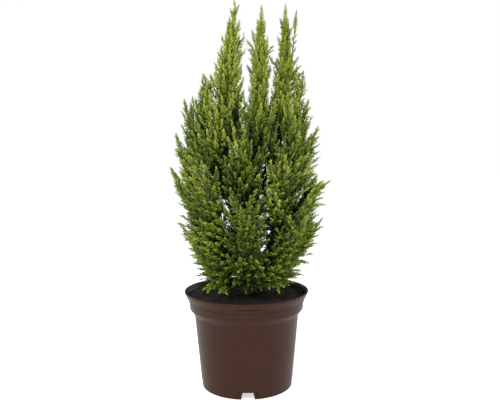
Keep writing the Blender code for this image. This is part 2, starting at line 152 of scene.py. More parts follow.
bark_finish = mottled("bark_finish", (0.030, 0.016, 0.010), (0.150, 0.078, 0.045), 900, 6, 0.82, 0.25,
                      stretch=(1, 1, 0.18), bump=0.8, bump_scale=1800)


# ================================================================ meshes
def add_piece(name, points, triangles, materials, indices=None, smooth=False, stands_for=()):
    """A joined mesh of triangles, in metres, that rides with the part."""
    mesh = bpy.data.meshes.new(name)
    points = np.ascontiguousarray(points, np.float32)
    triangles = np.ascontiguousarray(triangles, np.int32)
    mesh.vertices.add(len(points))
    mesh.vertices.foreach_set("co", points.ravel())
    mesh.loops.add(triangles.size)
    mesh.loops.foreach_set("vertex_index", triangles.ravel())
    mesh.polygons.add(len(triangles))
    mesh.polygons.foreach_set("loop_start", np.arange(0, triangles.size, 3, dtype=np.int32))
    for finish in materials:
        mesh.materials.append(finish)
    if indices is not None:
        mesh.polygons.foreach_set("material_index", np.ascontiguousarray(indices, np.int32))
    mesh.update(calc_edges=True)
    if smooth:
        mesh.shade_smooth()
    else:
        mesh.shade_flat()
    made = bpy.data.objects.new(name, mesh)
    bpy.context.scene.collection.objects.link(made)
    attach(made, "root")
    if stands_for:
        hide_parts(*stands_for)
    return made


class Heap:
    """Points and triangles gathered for one piece."""

    def __init__(self):
        self.points, self.triangles, self.indices, self.count = [], [], [], 0

    def add(self, points, triangles, indices):
        points = np.asarray(points, float).reshape(-1, 3)
        triangles = np.asarray(triangles, int).reshape(-1, 3)
        self.points.append(points)
        self.triangles.append(triangles + self.count)
        self.indices.append(np.broadcast_to(np.asarray(indices, int), (len(triangles),)))
        self.count += len(points)

    def arrays(self):
        return np.concatenate(self.points), np.concatenate(self.triangles), np.concatenate(self.indices)


# ================================================================ lines
def smooth_run(places, pace=3.0):
    """Points about every `pace` mm on a Catmull-Rom curve through the places."""
    places = [Vector(p) for p in places]
    ends = [places[0] * 2 - places[1]] + places + [places[-1] * 2 - places[-2]]
    run = []
    for k in range(1, len(ends) - 2):
        p0, p1, p2, p3 = ends[k - 1:k + 3]
        steps = max(2, int((p2 - p1).length / pace))
        for s in range(steps):
            t = s / steps
            run.append(0.5 * ((2 * p1) + (p2 - p0) * t + (2 * p0 - 5 * p1 + 4 * p2 - p3) * t * t
                              + (3 * p1 - p0 - 3 * p2 + p3) * t ** 3))
    run.append(places[-1])
    return run


def bezier(p0, p1, p2, p3, steps):
    run = []
    for k in range(steps + 1):
        t = k / steps
        run.append(p0 * (1 - t) ** 3 + p1 * 3 * t * (1 - t) ** 2 + p2 * 3 * t * t * (1 - t) + p3 * t ** 3)
    return run


class Run:
    """A line through space, measured along its length."""

    def __init__(self, points):
        self.points = [Vector(p) for p in points]
        self.along = [0.0]
        for a, b in zip(self.points, self.points[1:]):
            self.along.append(self.along[-1] + (b - a).length)
        self.length = self.along[-1]

    def at(self, s):
        s = min(max(s, 0.0), self.length)
        k = min(bisect_right(self.along, s), len(self.points) - 1)
        a, b = self.along[k - 1], self.along[k]
        return self.points[k - 1].lerp(self.points[k], (s - a) / (b - a) if b > a else 0.0)

    def way(self, s):
        a, b = max(s - 1.5, 0.0), min(s + 1.5, self.length)
        return (self.at(b) - self.at(a)).normalized()

    def height(self, z):
        """How far along the line it first reaches a height."""
        for k in range(len(self.points) - 1):
            if self.points[k].z <= z <= self.points[k + 1].z:
                t = (z - self.points[k].z) / max(self.points[k + 1].z - self.points[k].z, 1e-6)
                return self.along[k] + t * (self.along[k + 1] - self.along[k])
        return self.length if z > self.points[-1].z else 0.0

    def part(self, a, b, steps):
        return [self.at(a + (b - a) * k / steps) for k in range(steps + 1)]


def taper(stops, t):
    return float(np.interp(t, [s[0] for s in stops], [s[1] for s in stops]))


# ================================================================ limbs and masses, as in the solids
LIMBS = {
    "trunk": dict(
        through=((0, 0, 140.5), (0.6, 0.4, 158), (2.5, 1.2, 212), (7, 2, 268), (13, 1.5, 330),
                 (18, 0.5, 392), (21, 0, 450), (24, 0, 510), (25.4, 0, 560)),
        radii=((0.0, 8.6), (0.012, 6.9), (0.04, 5.4), (0.17, 4.6), (0.5, 3.2), (0.85, 1.6), (1.0, 0.8)),
        flare=0.16, tip=(25.7, 0, 576)),
    "leader_left": dict(
        through=((2.2, 1.2, 203), (-9, 3, 232), (-22, 4, 272), (-31, 3, 330), (-34, 1, 392),
                 (-30.5, 0, 452), (-22, 0, 505), (-15, 0, 564)),
        radii=((0.0, 3.5), (0.4, 2.7), (0.8, 1.6), (1.0, 0.8)), flare=0.0, tip=(-14.5, 0, 582)),
    "leader_right": dict(
        through=((3.6, 1.4, 226), (16, 2, 254), (31, 3, 296), (44, 3, 350), (54, 1.5, 404),
                 (59.5, 0, 458), (60.5, 0, 512), (61.3, 0, 559)),
        radii=((0.0, 3.3), (0.4, 2.6), (0.8, 1.5), (1.0, 0.8)), flare=0.0, tip=(61.2, 0, 577)),
}

# name: limb, height where its bough leaves the limb, foot, tip, how far it bows outward, piece
MASSES = {
    "spire_left": ("leader_left", None, (-40, 2, 322), (-13.5, 0, 582), 0, "spire_left"),
    "spire_middle": ("trunk", None, (14, 1, 312), (25.7, 0, 576), 0, "spire_middle"),
    "spire_right": ("leader_right", None, (55, 3, 334), (61.5, 0, 577), 0, "spire_right"),
    "spire_right_side": ("leader_right", 480, (71, 0, 499), (77.6, 0, 567.5), 0, "spire_right"),
    "spire_right_outer": ("leader_right", 376, (76, 2, 400), (87.5, 0, 478), 2, "spire_right"),
    "spire_left_outer": ("leader_left", 340, (-60, 2, 366), (-62.5, 0, 475), 2, "spire_left"),
    "left_upper": ("leader_left", 262, (-55, 2, 284), (-90.5, 0, 436), 2, "left"),
    "left_side": ("leader_left", 232, (-56, 3, 246), (-105, 2, 386), 2, "left"),
    "left_low": ("trunk", 181, (-50, 3, 204), (-112.5, 0, 334), 2, "left"),
    "right_upper": ("leader_right", 324, (75, 3, 344), (95.5, 0, 436), 0, "right"),
    "right_outer": ("leader_right", 278, (70, 3, 294), (110, 0, 396), 0, "right"),
    "right_reach": ("leader_right", 236, (60, 2, 248), (128.3, 0, 314), -4, "right"),
    "front_left_upper": ("leader_left", 286, (-35, -32, 304), (-38, -62, 413), 5, "front_upper"),
    "front_right_upper": ("trunk", 292, (16, -32, 308), (22.5, -62, 425), 5, "front_upper"),
    "front_far_right": ("leader_right", 302, (62, -32, 320), (70, -56, 408), 4, "front_upper"),
    "front_centre": ("trunk", 248, (-6, -38, 260), (0, -86, 388), 6, "front_middle"),
    "front_left": ("trunk", 193, (-38, -38, 226), (-60, -86, 346), 6, "front_middle"),
    "front_right": ("leader_right", 250, (42, -42, 258), (56, -88, 352), 6, "front_middle"),
    "back_left": ("leader_left", 282, (-34, 36, 296), (-36, 64, 420), 6, "back_upper"),
    "back_right": ("leader_right", 298, (42, 36, 312), (48, 66, 430), 6, "back_upper"),
    "back_centre": ("trunk", 232, (2, 40, 242), (4, 98, 362), 6, "back_middle"),
    "skirt_front": ("trunk", 161, (2, -32, 162), (-6, -103, 284), 6, "skirt_front"),
    "skirt_front_left": ("trunk", 155, (-32, -30, 158), (-84, -58, 244), 2, "skirt_front"),
    "skirt_front_right": ("trunk", 168, (36, -30, 174), (88, -62, 268), 2, "skirt_front"),
    "skirt_left": ("trunk", 162, (-40, 10, 166), (-104, 10, 250), 0, "skirt_sides"),
    "skirt_right": ("trunk", 156, (40, 8, 160), (118, 4, 256), 0, "skirt_sides"),
    "skirt_back_left": ("trunk", 172, (-32, 30, 176), (-74, 72, 266), 4, "skirt_back"),
    "skirt_back_right": ("trunk", 170, (38, 30, 176), (84, 72, 272), 4, "skirt_back"),
    "skirt_back": ("trunk", 160, (2, 34, 162), (4, 103, 268), 4, "skirt_back"),
}
PIECES = {}
for name, row in MASSES.items():
    PIECES.setdefault(row[5], []).append(name)

# height, and how far the crown reaches there to the left, to the right, and to front and back
CROWN = (
    (147, 60, 64, 62), (165, 75, 82, 76), (185, 82, 94, 86), (210, 90, 104, 95), (230, 98, 110, 101),
    (250, 104, 118, 105), (290, 106, 124, 108), (314, 109, 129, 108), (335, 113, 113, 106),
    (360, 107, 113, 102), (388, 105, 111, 93), (405, 98, 107, 82), (436, 91, 97, 62), (460, 68, 88, 46),
    (480, 60, 88, 36), (500, 46, 81, 30), (530, 35, 76, 25), (567, 24, 78, 18), (583, 17, 64, 12),
)
HEIGHTS = [row[0] for row in CROWN]


def reach(z):
    """Left, right and front reach of the crown at a height."""
    return [float(np.interp(z, HEIGHTS, [row[k] for row in CROWN])) for k in (1, 2, 3)]


def depth_in_crown(p):
    """How deep a point lies under the crown's outline, in mm."""
    left, right, deep = reach(p.z)
    across = p.x / (right if p.x > 0 else left)
    away = math.hypot(across, p.y / deep)
    size = (left + right) / 2 if away < 1e-6 else math.hypot(p.x, p.y) / away
    depth = (1 - away) * min(size, 110)
    # above the crown's body each leading tip stands alone, so nothing there is deep
    return depth * float(np.interp(p.z, (395, 455), (1.0, 0.12)))


limb_runs = {name: Run(smooth_run(list(limb["through"]) + [limb["tip"]])) for name, limb in LIMBS.items()}
limb_wood = {name: Run(smooth_run(limb["through"])) for name, limb in LIMBS.items()}


def limb_radius(name, s):
    return taper(LIMBS[name]["radii"], s / limb_wood[name].length)


# The main shoot of each mass: its bough, and then the same shoot on to the mass's tip.
shoots, shoot_bare = {}, {}
for name, (limb, height, foot, tip, bow, piece) in MASSES.items():
    foot, tip = Vector(foot), Vector(tip)
    if height is None:
        run = limb_runs[limb]
        start = run.height(foot.z - 40)
        shoots[name] = Run(run.part(start, run.length, 70))
        shoot_bare[name] = 40.0
        continue
    start = limb_runs[limb].at(limb_runs[limb].height(height))
    span = (foot - start).length
    end_way = (tip - foot).normalized()
    out = Vector((foot.x - start.x, foot.y - start.y, 0)).normalized()
    first = start + (out + Vector((0, 0, 0.35))).normalized() * span * 0.36
    last = foot - end_way * span * 0.34
    points = bezier(start, first, last, foot, 14)
    side = Vector((tip.x, tip.y, 0)).normalized() * bow
    middle = (foot + tip) / 2 + side * 2
    for k in range(1, 31):
        t = k / 30
        points.append(foot * (1 - t) ** 2 + middle * 2 * t * (1 - t) + tip * t * t)
    shoots[name] = Run(points)
    shoot_bare[name] = span


# ================================================================ growth
# Everything green is made of short tufted fingers: an axis with pairs of awl leaves. A finger is
# kept as a place, a direction, a length and a tone, and turned into leaves at the end.
fingers = {piece: [] for piece in PIECES}
twigs = {piece: [] for piece in PIECES}
FINGER = 8.0    # mm, the length that the finger patterns are drawn at


def any_way():
    while True:
        v = Vector((chance.uniform(-1, 1), chance.uniform(-1, 1), chance.uniform(-1, 1)))
        if 0.01 < v.length < 1:
            return v.normalized()


def square_to(v, way):
    """The part of v that is at right angles to a direction."""
    v = v - way * v.dot(way)
    return v.normalized() if v.length > 1e-4 else way.orthogonal().normalized()


def finger(piece, start, way, length, tone, fat=1.0):
    deep = depth_in_crown(start)
    fingers[piece].append((start, way, square_to(any_way(), way), length, fat, tone, deep))


def spray(piece, start, way, lift, plane, length, tone):
    """A small flat branch: fingers on both sides, longest at its foot, and one at its end."""
    wood = max(length - 6.5, 1.0)
    bend = chance.uniform(0.15, 0.45)
    line = []
    for k in range(3):
        t = k / 2
        line.append(start + (way * (1 - bend * t) + lift * bend * t).normalized() * wood * t)
    run = Run(line)
    s, side = chance.uniform(1.8, 3.2), chance.choice((-1, 1))
    while s < run.length - 0.4:
        w = run.way(s)
        across = plane.cross(w).normalized()
        left = length - s
        angle = math.radians(chance.gauss(39, 6))
        size = min(8.6, 3.4 + 0.50 * left) * chance.uniform(0.85, 1.12)
        off = (across * side + plane * chance.gauss(0, 0.28)).normalized()
        finger(piece, run.at(s), (w * math.cos(angle) + off * math.sin(angle)).normalized(), size,
               tone + (0.35 if left > 12 else 0.0))
        side = -side
        s += chance.uniform(2.3, 3.0)
    finger(piece, run.at(run.length), run.way(run.length), chance.uniform(6.8, 8.4), tone - 0.25, 1.06)
    twigs[piece].append((line, 0.42, 0.30, tone, 3))


def plume(piece, run, leafy, face, tone, reach_most=19.0, pace=4.5, fan=1.0, slim=0.0, thin=0.0, ends=True):
    """Sprays and fingers on the last `leafy` mm of a shoot. They lie mostly in one plane, whose
    normal is `face`, and grow longer away from the tip. `slim` keeps the first mm from the tip to
    single short fingers, and `thin` leaves some out."""
    wood = run.length - (6.0 if ends else 0.0)
    if ends:
        finger(piece, run.at(wood), run.way(run.length - 1), 7.5, tone - 0.4, 1.1)
    d, side, turn_number = 2.0, chance.choice((-1, 1)), 0
    singles = max(14.0, slim)
    while d < leafy:
        s = wood - d
        if s < 2:
            break
        p, w = run.at(s), run.way(s)
        plane = square_to(face, w)
        across = plane.cross(w)
        turn_number += 1
        roll = chance.gauss(0, 0.42)
        if turn_number % 3 == 0:
            roll += chance.choice((-1, 1)) * chance.uniform(0.9, 1.5)
        off = across * side * math.cos(roll) + plane * math.sin(roll)
        fork = math.radians((24 + min(19.0, 0.7 * d) + chance.gauss(0, 4)) * fan)
        if slim and d < slim:
            fork *= 0.8
        way = (w * math.cos(fork) + off * math.sin(fork)).normalized()
        if d < singles:
            size = min(4.6 + 0.26 * d, 7.8) * chance.uniform(0.85, 1.1)
            if chance.random() > thin:
                finger(piece, p, way, size, tone - 0.2 + 0.02 * d)
            d += chance.uniform(1.9, 2.5)
        else:
            size = min(reach_most, 8.5 + 0.46 * (d - singles)) * chance.uniform(0.78, 1.10)
            if d > 0.75 * leafy:
                size *= 0.85
            if chance.random() > thin:
                own_plane = square_to(plane + any_way() * 0.45, way)
                spray(piece, p, way, w, own_plane, size, tone + chance.gauss(0, 0.55) + 0.022 * (d - singles))
            d += chance.uniform(0.86, 1.14) * pace
        side = -side


def shoot_twig(piece, run, first, last, tone, sides=4):
    twigs[piece].append((run.part(0, run.length - 6, max(3, int(run.length / 13))), first, last, tone, sides))


# ---- the plumes that a branch ends in. Each grows from the main shoot that suits it best.
class Rooting:
    """Places on the main shoots where a plume may start."""

    def __init__(self):
        self.rows, spots, ways = [], [], []
        for name, run in shoots.items():
            s = shoot_bare[name] * (0.55 if MASSES[name][1] else 0.2)
            while s < run.length - 24:
                self.rows.append((name, s))
                spots.append(run.at(s))
                ways.append(run.way(s))
                s += 4.0
        self.spots, self.ways = np.array(spots), np.array(ways)
        self.names = np.array([row[0] for row in self.rows])

    def best(self, tip, tip_way, length, only=None):
        away = np.array(tip) - self.spots
        far = np.linalg.norm(away, axis=1)
        heading = np.array((tip_way + Vector((0, 0, 0.35))).normalized())
        cost = np.abs(far - length) / 26 + 2.4 * (1 - (away @ heading) / np.maximum(far, 1))
        cost += 1.1 * (1 - np.sum(away * self.ways, axis=1) / np.maximum(far, 1))
        cost[far < 18] += 5
        if only is not None:
            cost[~np.isin(self.names, only)] += 50
        k = int(np.argmin(cost))
        return self.rows[k]


rooting = Rooting()


def rise(z):
    """How steeply the outermost shoots point up at a height, in degrees."""
    return float(np.interp(z, (150, 170, 200, 240, 290, 340, 390, 440, 500, 580),
                           (-22, -12, 4, 16, 28, 42, 56, 70, 79, 84)))


def grow_to(tip, way, length, leafy, face, tone, only=None, **more):
    """A shoot from the best rooting place to a tip, with its plume."""
    name, s = rooting.best(tip, way, length, only)
    main = shoots[name]
    root, along = main.at(s), main.way(s)
    span = (tip - root).length
    first = root + (along * 0.6 + (tip - root).normalized() * 0.5).normalized() * span * 0.36
    last = tip - way * span * 0.40
    run = Run(bezier(root, first, last, tip, 12))
    piece = MASSES[name][5]
    plume(piece, run, min(leafy, run.length - 8), face, tone, **more)
    shoot_twig(piece, run, 1.05, 0.42, tone)
    return run


def facing(way, show):
    """The normal of a plume's plane: turned to the front by `show`, and otherwise anyhow."""
    return square_to(Vector((0, -1, 0)) * show + any_way() * (1 - show), way)


def lean(side, z, steer=0.0):
    """The way that an outermost shoot points at the crown's left (-1) or right (1) edge."""
    angle = math.radians(rise(z) + steer)
    return Vector((side * math.cos(angle), 0, math.sin(angle)))


# ---- plumes that can be told apart in the outline: tip, way it points in degrees from the
# horizontal (to the right is 0, straight up 90), length of shoot, leafy part, tone, longest spray
OUTLINE = (
    # left leading tip and its side shoots
    ((-20.7, 2, 571.5), 108, 20, 12, 1.7, 7, 0.0), ((-7.3, -2, 575.5), 62, 20, 12, 1.8, 7, 0.0),
    ((-25.1, -2, 551), 100, 34, 26, 1.6, 9, 0.0), ((-9.5, 4, 547), 80, 30, 22, 2.0, 9, 0.0),
    ((-16, -12, 556), 88, 30, 22, 1.6, 8, 0.0), ((-33.9, 0, 530.5), 104, 44, 30, 1.9, 8, 0.3),
    ((-0.5, 2, 534.5), 84, 42, 30, 2.3, 9, 0.1), ((-12, -14, 536), 90, 40, 32, 1.7, 12, 0.0),
    ((-27, -12, 528), 98, 42, 34, 1.6, 12, 0.0), ((-35.5, 2, 509.5), 112, 36, 24, 2.0, 10, 0.2),
    ((1.1, -2, 511), 66, 40, 28, 2.3, 11, 0.1), ((-39.3, -3, 506.2), 116, 40, 30, 1.7, 12, 0.0),
    ((-45.4, 0, 491.8), 118, 46, 36, 1.6, 14, 0.0), ((-44.8, 4, 477.4), 128, 40, 30, 2.0, 13, 0.0),
    ((-60.3, 0, 475), 104, 52, 42, 1.6, 13, 0.0), ((-51.7, -4, 473.2), 112, 50, 38, 1.8, 13, 0.0),
    ((-63.8, 2, 464.8), 118, 46, 34, 2.0, 12, 0.1), ((-66.5, -2, 458), 126, 44, 34, 1.8, 12, 0.0),
    ((-66.7, 3, 445.3), 130, 40, 30, 2.0, 12, 0.0), ((-78.8, 0, 441.9), 102, 60, 46, 1.7, 13, 0.1),
    ((-91.8, 0, 436.9), 98, 66, 52, 1.6, 12, 0.1), ((-81.5, -3, 433.4), 96, 50, 38, 1.8, 12, 0.1),
    ((-68.6, 2, 434.2), 110, 46, 36, 1.9, 13, 0.0), ((-95.6, 2, 419.8), 124, 42, 28, 1.7, 11, 0.1),
    ((-96.8, 0, 399.2), 122, 46, 34, 1.7, 13, 0.1), ((-105.6, 0, 386.4), 108, 60, 50, 1.5, 14, 0.1),
    ((-104.3, 3, 361.7), 128, 46, 38, 1.7, 14, 0.1), ((-114.3, 0, 335.8), 122, 62, 50, 1.3, 15, 0.0),
    ((-111.9, -4, 327), 144, 46, 36, 1.6, 14, 0.0), ((-107.8, 3, 312.2), 146, 46, 38, 1.6, 15, 0.0),
    ((-106.2, -2, 298.2), 152, 46, 38, 1.6, 15, 0.0), ((-103, 2, 281.5), 158, 44, 36, 1.7, 15, 0.0),
    ((-99.8, -2, 263), 152, 44, 36, 1.8, 15, 0.0), ((-104.4, 0, 249.8), 166, 46, 38, 1.6, 15, 0.0),
    ((-99.4, 2, 233.8), 178, 42, 30, 2.1, 10, 0.2), ((-96, -2, 224.9), 182, 42, 30, 2.1, 10, 0.2),
    ((-88.3, 2, 211.5), 174, 42, 34, 1.9, 14, 0.0), ((-88.5, -2, 200.8), 184, 42, 34, 1.8, 14, 0.0),
    ((-82.5, 2, 188.3), 190, 42, 34, 1.9, 14, 0.0), ((-77.5, 0, 168.4), 200, 46, 32, 2.0, 10, 0.15),
    ((-72.3, 4, 161.5), 205, 44, 28, 2.2, 9, 0.2),
    # middle leading tip
    ((11.5, 0, 538.6), 98, 40, 28, 1.5, 9, 0.0), ((19, 6, 536), 100, 30, 22, 2.0, 8, 0.0),
    ((3.2, 0, 524.4), 128, 40, 26, 1.7, 9, 0.2), ((5.5, 3, 512), 130, 36, 24, 1.9, 9, 0.2),
    ((30.4, 0, 540.2), 66, 34, 22, 2.6, 6, 0.3), ((43.1, 2, 515.7), 34, 36, 20, 2.7, 7, 0.3),
    ((43.1, -2, 509.8), 26, 34, 20, 2.4, 7, 0.3), ((7.8, 0, 497.4), 132, 34, 24, 2.0, 10, 0.1),
    ((31.9, 0, 494.7), 66, 38, 24, 2.8, 8, 0.2), ((31, 3, 482), 60, 38, 28, 2.4, 10, 0.1),
    ((13, -12, 512), 96, 40, 34, 1.8, 11, 0.0), ((26, -12, 500), 84, 42, 36, 1.8, 12, 0.0),
    ((12, -14, 484), 98, 42, 36, 1.9, 12, 0.0), ((3.5, 2, 487.3), 122, 40, 26, 4.6, 9, 0.3),
    # right leading tip
    ((53.5, 0, 555.1), 106, 26, 18, 3.2, 5, 0.1), ((71.4, 0, 542.4), 62, 34, 22, 1.8, 8, 0.1),
    ((49.1, 0, 528.3), 118, 36, 24, 2.0, 9, 0.1), ((66, -8, 520), 78, 36, 28, 1.9, 11, 0.0),
    ((57, -12, 506), 96, 38, 30, 2.0, 11, 0.0), ((68, 2, 514.7), 70, 38, 26, 2.2, 10, 0.1),
    ((76.5, 0, 512.9), 58, 44, 30, 2.0, 11, 0.1), ((80.8, -2, 498.5), 50, 42, 30, 2.0, 11, 0.1),
    ((83.4, 2, 485.8), 40, 44, 30, 2.0, 12, 0.1), ((87.7, 0, 476.5), 36, 50, 36, 1.8, 12, 0.1),
    ((37, 0, 500.6), 118, 44, 26, 3.0, 8, 0.2), ((86, -3, 464), 38, 44, 30, 2.0, 12, 0.2),
    ((84, 3, 452), 34, 42, 30, 2.0, 12, 0.1), ((82.5, 0, 439.1), 30, 40, 28, 2.2, 12, 0.1),
    ((96.4, 0, 435.6), 58, 62, 46, 1.9, 12, 0.15), ((99, 2, 424), 40, 40, 26, 2.1, 9, 0.2),
    ((91.2, -2, 413.3), 30, 40, 26, 2.5, 10, 0.2), ((100.7, 0, 410.7), 66, 56, 42, 1.9, 12, 0.1),
    ((111.1, 0, 391.7), 40, 48, 36, 1.9, 12, 0.1), ((111.2, -3, 380.5), 30, 44, 32, 2.0, 12, 0.1),
    ((112.1, 2, 369), 30, 44, 32, 2.0, 13, 0.1), ((112.1, -2, 358.4), 22, 44, 34, 2.0, 13, 0.05),
    ((113, 2, 348.9), 26, 46, 36, 1.9, 14, 0.0), ((109.6, -2, 338.5), 22, 44, 36, 1.9, 14, 0.0),
    ((108, 2, 324), 20, 44, 36, 2.0, 14, 0.0), ((128.8, 0, 313.1), 34, 62, 46, 1.5, 12, 0.15),
    ((120.1, 0, 296.5), 14, 50, 40, 1.9, 14, 0.05), ((122.8, 0, 277.2), 2, 52, 42, 1.6, 14, 0.05),
    ((118, 2, 288), 20, 44, 36, 1.8, 14, 0.0), ((113.3, -2, 252.6), 30, 48, 38, 1.6, 14, 0.0),
    ((118.6, 0, 243.7), 20, 52, 40, 1.6, 14, 0.05), ((112, 2, 262), 10, 44, 36, 1.9, 14, 0.0),
    ((112, 0, 230), 6, 46, 36, 1.8, 14, 0.0), ((108.1, 0, 218.1), 2, 46, 36, 1.7, 14, 0.05),
    ((103.7, 2, 200.3), -6, 44, 34, 1.8, 13, 0.1), ((97.6, 0, 187), -10, 44, 34, 1.8, 13, 0.1),
    ((87.9, 0, 168.9), -14, 44, 32, 1.9, 12, 0.1), ((78, 4, 163), -20, 42, 30, 2.1, 12, 0.1),
)

# ---- plumes that stand out against the crown's front: tip, shoot, leafy part, tone, longest spray
FRONT = (
    ((22.9, -66, 426), 74, 66, 1.3, 18), ((-39, -64, 416.2), 70, 60, 1.5, 14),
    ((0.2, -80, 387.9), 72, 62, 1.3, 18), ((42.9, -72, 383.6), 56, 46, 1.8, 16),
    ((37.3, -60, 416.4), 56, 46, 1.7, 14), ((-10.2, -60, 399.2), 50, 38, 2.4, 13),
    ((-23.1, -64, 393.7), 52, 42, 2.2, 14), ((-7.4, -98, 323.4), 44, 20, 1.4, 8),
    ((34.2, -98, 293), 54, 44, 1.4, 17), ((61.8, -88, 270.7), 54, 44, 1.2, 17),
    ((-20.1, -96, 310), 50, 42, 1.6, 16), ((-55.2, -80, 340), 54, 44, 1.5, 16),
    ((-39.5, -86, 338), 52, 42, 1.7, 16), ((5.7, -102, 272), 52, 42, 1.5, 17),
    ((-29, -98, 285), 50, 42, 1.8, 16), ((47, -80, 355), 56, 46, 1.7, 17),
    ((28.3, -78, 371), 54, 44, 1.8, 16), ((-72, -58, 372), 58, 48, 1.4, 16),
)

# ---- sprays that hang over the compost: tip, and the way they point
HANGING = (
    ((-61.1, -62, 162.5), (-0.55, -0.55, -0.30), 30, 1.5), ((-56.2, -64, 157.5), (-0.2, -0.7, -0.5), 26, 1.5),
    ((-38, -66, 158), (-0.35, -0.75, -0.30), 28, 1.7), ((-28, -68, 156.5), (0.35, -0.8, -0.25), 28, 1.6),
    ((0, -64, 156), (0.05, -0.6, -0.75), 24, 3.2), ((48, -62, 157), (0.35, -0.55, -0.6), 28, 1.8),
    ((55, -60, 164), (0.6, -0.6, -0.2), 28, 1.6), ((-18, -70, 171), (0.0, -0.9, -0.3), 30, 1.7),
)


for place, angle, length, leafy, tone, longest, thin in OUTLINE:
    tip = Vector(place)
    a = math.radians(angle)
    way = Vector((math.cos(a), chance.gauss(0, 0.10), math.sin(a))).normalized()
    only = None
    if tip.z > 470:
        only = ["spire_left"] if tip.x < 3.4 else ["spire_middle"] if tip.x < 44 else ["spire_right"]
        if tip.x > 76:
            only = ["spire_right", "spire_right_outer"]
        if tip.x < -42:
            only = ["spire_left", "spire_left_outer"]
    if place in ((11.5, 0, 538.6), (3.2, 0, 524.4), (7.8, 0, 497.4), (3.5, 2, 487.3)):
        only = ["spire_middle"]
    if place == (37, 0, 500.6):
        only = ["spire_right"]
    grow_to(tip, way, length, leafy, facing(way, 0.8), tone, only, reach_most=longest, thin=thin,
            pace=4.2 if longest > 9 else 3.6)

for place, length, leafy, tone, longest in FRONT:
    tip = Vector(place)
    angle = math.radians(rise(tip.z) + 14)
    out = Vector((tip.x * 0.45, tip.y, 0)).normalized()
    way = (out * math.cos(angle) + Vector((0, 0, 1)) * math.sin(angle)).normalized()
    grow_to(tip, way, length, leafy, facing(way, 0.7), tone, reach_most=longest, pace=4.2)

for place, way, leafy, tone in HANGING:
    way = Vector(way).normalized()
    grow_to(Vector(place), way, 44, leafy, facing(way, 0.1) * 0.5 + Vector((0, -0.3, 0.9)), tone,
            ["skirt_front", "skirt_front_left", "skirt_front_right"], reach_most=11, pace=4.4)

# ---- the leading tips themselves: the limbs' own ends
for name, mass, leafy, slim, longest, tone in (("leader_left", "spire_left", 120, 22, 15, 1.5),
                                               ("trunk", "spire_middle", 130, 24, 15, 1.2),
                                               ("leader_right", "spire_right", 110, 30, 13, 1.7)):
    plume(MASSES[mass][5], limb_runs[name], leafy, Vector((0, -1, 0)), tone, reach_most=longest, pace=3.6, slim=slim)

# ---- the end of every other main shoot
for name, run in shoots.items():
    if MASSES[name][1] is None:
        continue
    slim = 22 if name == "spire_right_side" else 0
    plume(MASSES[name][5], run, min(run.length * 0.6, 90), facing(run.way(run.length - 2), 0.6), 1.6,
          reach_most=9 if slim else 17, pace=4.4, slim=slim, fan=0.85 if slim else 1.0)


# ---- the rest of the crown's surface, with the tips spread evenly but not regularly
placed = [Vector(row[0]) for row in OUTLINE + FRONT + HANGING]
placed += [run.at(run.length) for run in shoots.values()]


def free_at(p, gap):
    return all((p - q).length > gap for q in placed)


def lump(angle, z):
    """From 0 to 1: where the crown's surface stands forward and where it falls back."""
    v = noise.noise(Vector((math.cos(angle) * 2.1, math.sin(angle) * 2.1, z / 46.0)))
    return min(1.0, max(0.0, 0.5 + 0.9 * v))


CROWN_TOP = 442.0
tries, grown = 0, 0
while tries < 16000:
    tries += 1
    z = chance.uniform(158, CROWN_TOP)
    angle = chance.uniform(0, 2 * math.pi)
    left, right, deep = reach(z)
    a, b = (right if math.cos(angle) > 0 else left), deep
    sunk = 5.0 + 13.0 * (1 - lump(angle, z)) + (0 if abs(math.sin(angle)) > 0.35 else 2.0)
    ring = Vector((a * math.cos(angle), b * math.sin(angle), 0))
    ring *= max(0.1, 1 - sunk / max(ring.length, 1))
    tip = Vector((ring.x, ring.y, z))
    gap = 10.6 if z < 300 else 11.0
    if tip.z < 172 and math.hypot(tip.x, tip.y) < 50:
        continue
    if not free_at(tip, gap):
        continue
    placed.append(tip)
    grown += 1
    out = Vector((math.cos(angle) / a, math.sin(angle) / b, 0)).normalized()
    out.rotate(Matrix.Rotation(chance.gauss(0, 0.24), 3, "Z"))
    steep = math.radians(rise(z) + chance.gauss(4, 10))
    way = (out * math.cos(steep) + Vector((0, 0, 1)) * math.sin(steep)).normalized()
    # Painted shade: a plume whose tip falls back into the crown's surface is dealt a darker tone.
    tone = 0.9 + 1.7 * (1 - lump(angle, z)) + chance.gauss(0, 0.5)
    leafy = chance.uniform(34, 46)
    grow_to(tip, way, chance.uniform(44, 60), leafy, facing(way, 0.25), tone,
            reach_most=chance.uniform(13, 18), pace=4.7)

